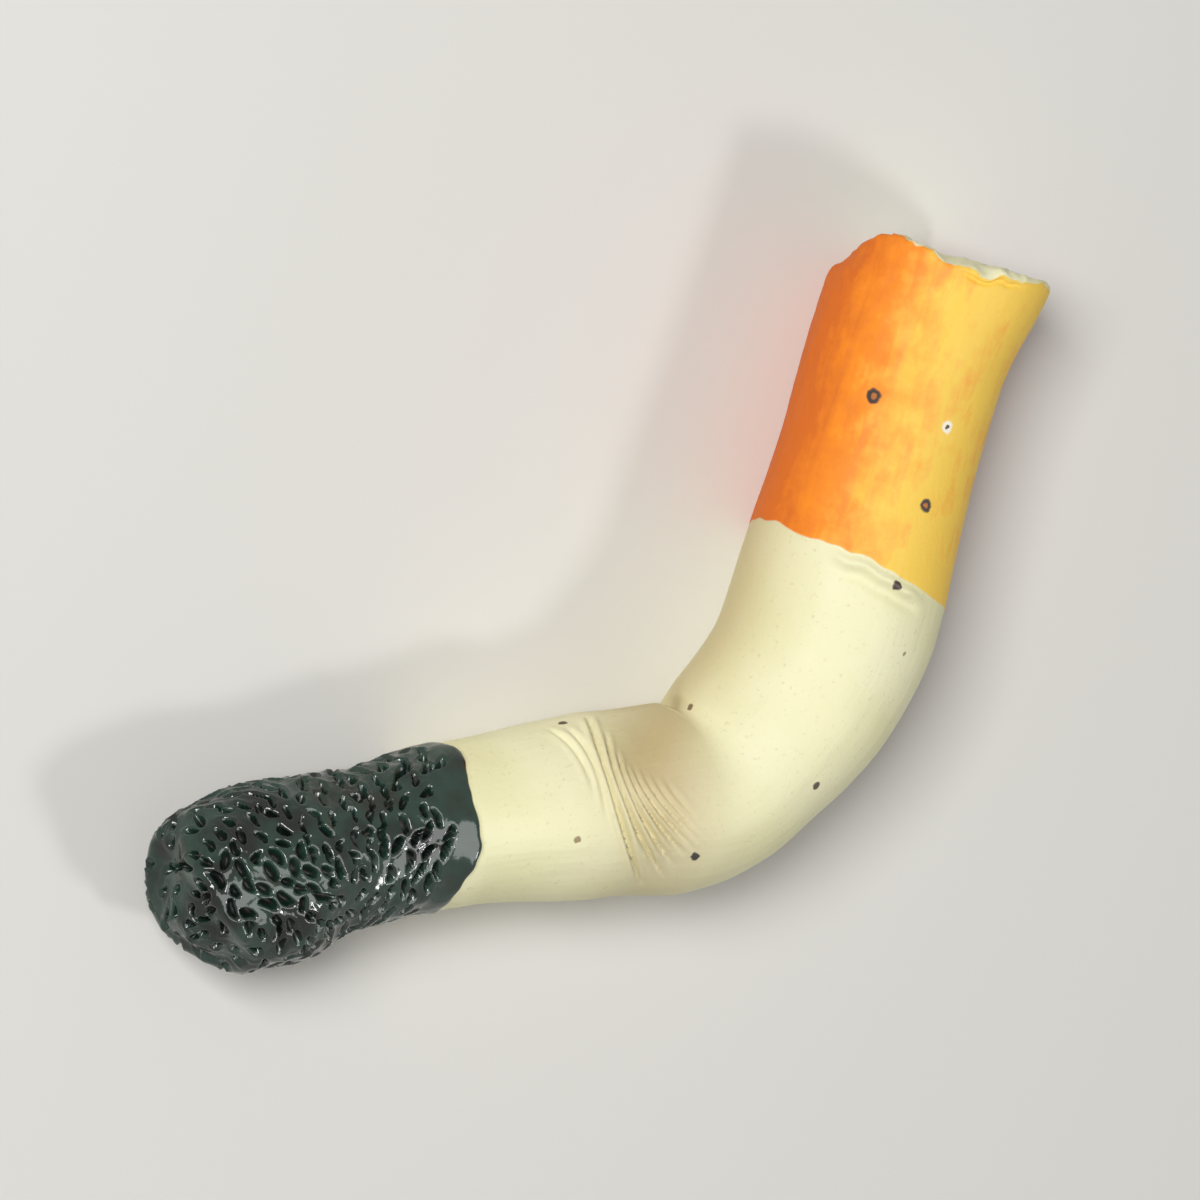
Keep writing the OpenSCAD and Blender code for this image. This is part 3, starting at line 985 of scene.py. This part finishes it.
def blackGlaze(tree, place, cavity):
    look = blackGlazeLook
    cloud = addNode(tree, "ShaderNodeTexNoise", {
        "Vector": place, "Scale": 1.0 / look["cloudSize"], "Detail": 3.0})
    ripple = addNode(tree, "ShaderNodeTexNoise", {
        "Vector": place, "Scale": 1.0 / look["rippleSize"], "Detail": 2.0})
    ramp = addNode(tree, "ShaderNodeValToRGB", {"Fac": cloud.outputs["Fac"]})
    glazeAt, greenAt, brokenAt = look["greenPlaces"]
    ramp.color_ramp.elements[0].position = glazeAt
    ramp.color_ramp.elements[0].color = hexColour(look["glaze"])
    ramp.color_ramp.elements[1].position = brokenAt
    ramp.color_ramp.elements[1].color = hexColour(look["broken"])
    ramp.color_ramp.elements.new(greenAt).color = hexColour(look["green"])
    # Painted shade: the glaze turns near black down in the pits, and rougher there
    paintedPitShade = addNode(tree, "ShaderNodeMapRange", {
        "Value": cavity, "From Min": look["pitShadeFrom"][0], "From Max": look["pitShadeFrom"][1]})
    colour = addNode(tree, "ShaderNodeMix", {
        0: paintedPitShade.outputs["Result"], 6: ramp.outputs["Color"],
        7: hexColour(look["paintedPitShade"])}, data_type="RGBA")
    rough = addNode(tree, "ShaderNodeMapRange", {
        "Value": cloud.outputs["Fac"], "From Min": noiseSpread[0], "From Max": noiseSpread[1],
        "To Min": look["roughness"][0], "To Max": look["roughness"][1]})
    rough = addNode(tree, "ShaderNodeMix", {
        0: paintedPitShade.outputs["Result"], 2: rough.outputs["Result"], 3: look["pitRoughness"]})
    height = addNode(tree, "ShaderNodeMath", {
        0: ripple.outputs["Fac"], 1: look["rippleDepth"]}, operation="MULTIPLY")
    return colour.outputs[2], rough.outputs[0], height.outputs[0]


# Iron specks burnt out of the clay: (place along, place round, radius in mm, core, ring or None)
ironSpecks = [
    (44.25, 42.0, 0.33, "#B0651A", "#2A1206"),
    (43.8, 90.0, 0.28, "#3A2A18", "#FFF6E0"),
    (40.4, 92.0, 0.30, "#B86A1A", "#22100A"),
    (36.8, 83.0, 0.24, "#2E1A10", None),
    (22.5, 110.0, 0.22, "#15100C", None),
    (28.0, 106.0, 0.20, "#463520", None),
    (25.6, 13.0, 0.17, "#7A6440", None),
    (18.4, 4.5, 0.20, "#5E4C30", None),
    (17.0, 94.0, 0.17, "#8E7A50", None),
    (34.2, 103.0, 0.10, "#A08C64", None),
    (31.0, 215.0, 0.17, "#4A3822", None),
    (42.0, 200.0, 0.22, "#2A1608", None),
    (47.2, 250.0, 0.20, "#3A2010", None),
    (20.5, 268.0, 0.16, "#5A482C", None),
    (33.0, 320.0, 0.15, "#6A5636", None),
]
speckShape = {
    "straySize": 0.35,     # the outlines are uneven
    "stray": 0.22,
    "coreShare": 0.42,     # of the ring's radius
    "edge": (0.75, 1.15),  # shares of the radius between which it fades
}


# Where the skin is in mm at that place, with its relief
def speckPlace(s, a):
    grid = tipGrid if s < mesh["tipTo"] else bodyGrid
    i = int(np.argmin(np.abs(grid["s"][:, 0] - s)))
    j = round(a / 360.0 * grid["s"].shape[1]) % grid["s"].shape[1]
    return tuple(grid["point"][i, j] - middlePoint + homePoint * 1000.0)


def addSpecks(tree, place, colour):
    stray = addNode(tree, "ShaderNodeTexNoise", {"Vector": place, "Scale": 1.0 / speckShape["straySize"]})
    centred = addNode(tree, "ShaderNodeVectorMath", {
        0: stray.outputs["Color"], 1: (0.5, 0.5, 0.5)}, operation="SUBTRACT")
    small = addNode(tree, "ShaderNodeVectorMath", {
        0: centred.outputs[0], "Scale": speckShape["stray"]}, operation="SCALE")
    shaken = addNode(tree, "ShaderNodeVectorMath", {0: place, 1: small.outputs[0]}, operation="ADD")
    solid, gone = speckShape["edge"]
    for s, a, radius, core, ring in ironSpecks:
        away = addNode(tree, "ShaderNodeVectorMath", {
            0: shaken.outputs[0], 1: speckPlace(s, a)}, operation="DISTANCE")
        ringed = [(radius, ring), (radius * speckShape["coreShare"], core)]
        layers = [(radius, core)] if ring is None else ringed
        for reach, tint in layers:
            inside = addNode(tree, "ShaderNodeMapRange", {
                "Value": away.outputs["Value"], "From Min": reach * solid, "From Max": reach * gone,
                "To Min": 1.0, "To Max": 0.0}, interpolation_type="SMOOTHSTEP")
            mixed = addNode(tree, "ShaderNodeMix", {
                0: inside.outputs["Result"], 6: colour, 7: hexColour(tint)}, data_type="RGBA")
            colour = mixed.outputs[2]
    return colour


# The three finishes meet on one fired body
finishes = {
    "edgeBlur": 0.04,      # mm over which one finish gives way to the next
    "tornFrom": (0.25, 0.75),
    "bumpUnit": 0.001,     # the finishes' heights are in mm
    "ior": 1.5,
}


def glazedStoneware():
    material = bpy.data.materials.new("glazed_stoneware")
    material.use_nodes = True
    tree = material.node_tree
    tree.nodes.clear()
    coords = addNode(tree, "ShaderNodeTexCoord")
    inMm = addNode(tree, "ShaderNodeVectorMath", {
        0: coords.outputs["Object"], "Scale": 1000.0}, operation="SCALE")
    place = inMm.outputs[0]
    unbent = addNode(tree, "ShaderNodeAttribute", attribute_name="unbent").outputs["Vector"]
    black, orange, torn, cavity, hollow = (
        addNode(tree, "ShaderNodeAttribute", attribute_name=name).outputs["Fac"]
        for name in ("pastBlack", "pastOrange", "torn", "cavity", "hollow"))

    cream = creamStoneware(tree, place, unbent, hollow)
    brushed = orangeUnderglaze(tree, place, unbent)
    burnt = blackGlaze(tree, place, cavity)
    blur = finishes["edgeBlur"]
    isOrange = addNode(tree, "ShaderNodeMapRange", {
        "Value": orange, "From Min": -blur, "From Max": blur}, interpolation_type="SMOOTHSTEP")
    notTorn = addNode(tree, "ShaderNodeMapRange", {
        "Value": torn, "From Min": finishes["tornFrom"][0], "From Max": finishes["tornFrom"][1],
        "To Min": 1.0, "To Max": 0.0})
    glazed = addNode(tree, "ShaderNodeMath", {
        0: isOrange.outputs["Result"], 1: notTorn.outputs["Result"]}, operation="MULTIPLY").outputs[0]
    dipped = addNode(tree, "ShaderNodeMapRange", {
        "Value": black, "From Min": blur, "From Max": -blur}, interpolation_type="SMOOTHSTEP")
    isBlack = dipped.outputs["Result"]

    body = addNode(tree, "ShaderNodeMix", {0: glazed, 6: cream[0], 7: brushed[0]}, data_type="RGBA")
    specked = addSpecks(tree, place, body.outputs[2])
    colour = addNode(tree, "ShaderNodeMix", {0: isBlack, 6: specked, 7: burnt[0]}, data_type="RGBA")
    rough = addNode(tree, "ShaderNodeMix", {0: glazed, 2: cream[1], 3: brushed[1]}).outputs[0]
    rough = addNode(tree, "ShaderNodeMix", {0: isBlack, 2: rough, 3: burnt[1]}).outputs[0]
    height = addNode(tree, "ShaderNodeMix", {0: glazed, 2: cream[2], 3: brushed[2]}).outputs[0]
    height = addNode(tree, "ShaderNodeMix", {0: isBlack, 2: height, 3: burnt[2]}).outputs[0]
    raised = addNode(tree, "ShaderNodeBump", {"Height": height, "Distance": finishes["bumpUnit"]})
    shader = addNode(tree, "ShaderNodeBsdfPrincipled", {
        "Base Color": colour.outputs[2], "Roughness": rough, "Normal": raised.outputs[0],
        "IOR": finishes["ior"]})
    addNode(tree, "ShaderNodeOutputMaterial", {"Surface": shader.outputs[0]})
    return material


butt.data.materials.append(glazedStoneware())
print("materials made")

# A plain pale table with soft studio lamps
studio = {
    "table": "#E9E7E2",
    "tableSize": 3.0,       # metres
    "tableRoughness": 0.85,
    "tableShine": 0.2,
    "surround": "#E6E4DF",
    "surroundLight": 0.17,
    # each is (to the picture's right, up, towards the camera, distance, size, watts)
    "lamps": {
        "key": (-0.13, 0.12, 0.98, 0.42, 0.14, 1.46),
        "side": (0.79, -0.50, 0.26, 0.50, 0.07, 0.48),
        "sheen": (0.60, -0.28, 0.75, 0.50, 0.48, 3.0),
    },
    "onlyMirrored": ("sheen",),    # lamps that show in the glaze but light nothing
}


def makeTable():
    half = studio["tableSize"] / 2
    data = bpy.data.meshes.new("table")
    corners = [(-half, -half, 0.0), (half, -half, 0.0), (half, half, 0.0), (-half, half, 0.0)]
    data.from_pydata(corners, [], [(0, 1, 2, 3)])
    table = bpy.data.objects.new("table", data)
    bpy.context.scene.collection.objects.link(table)
    material = bpy.data.materials.new("matt_table")
    material.use_nodes = True
    shader = material.node_tree.nodes["Principled BSDF"]
    shader.inputs["Base Color"].default_value = hexColour(studio["table"])
    shader.inputs["Roughness"].default_value = studio["tableRoughness"]
    shader.inputs["Specular IOR Level"].default_value = studio["tableShine"]
    data.materials.append(material)


# A dim pale room, which looks and reflects white
def makeSurround():
    world = bpy.data.worlds.new("surround")
    world.use_nodes = True
    bpy.context.scene.world = world
    tree = world.node_tree
    tree.nodes.clear()
    rays = addNode(tree, "ShaderNodeLightPath")
    seen = addNode(tree, "ShaderNodeMath", {
        0: rays.outputs["Is Camera Ray"], 1: rays.outputs["Is Glossy Ray"]}, operation="MAXIMUM")
    seenAll = addNode(tree, "ShaderNodeMath", {
        0: seen.outputs[0], 1: rays.outputs["Is Transmission Ray"]}, operation="MAXIMUM")
    pale = hexColour(studio["surround"])
    light = addNode(tree, "ShaderNodeBackground", {"Color": pale, "Strength": studio["surroundLight"]})
    shown = addNode(tree, "ShaderNodeBackground", {"Color": pale, "Strength": 1.0})
    mixed = addNode(tree, "ShaderNodeMixShader", {
        0: seenAll.outputs[0], 1: light.outputs[0], 2: shown.outputs[0]})
    addNode(tree, "ShaderNodeOutputWorld", {"Surface": mixed.outputs[0]})


def makeLamps():
    right, up, back = cameraAxes()
    target = (cadBox[0] + cadBox[1]) / 2
    for name, (toRight, toUp, toCamera, distance, size, watts) in studio["lamps"].items():
        direction = (right * toRight + up * toUp + back * toCamera).normalized()
        data = bpy.data.lights.new(name, "AREA")
        data.shape = "SQUARE"
        data.size = size
        data.energy = watts
        lamp = bpy.data.objects.new(name, data)
        lamp.visible_diffuse = name not in studio["onlyMirrored"]
        bpy.context.scene.collection.objects.link(lamp)
        turned = direction.to_track_quat("Z", "Y").to_matrix().to_4x4()
        lamp.matrix_world = Matrix.Translation(target + direction * distance) @ turned


makeTable()
makeSurround()
makeLamps()
print("stage and lamps made")
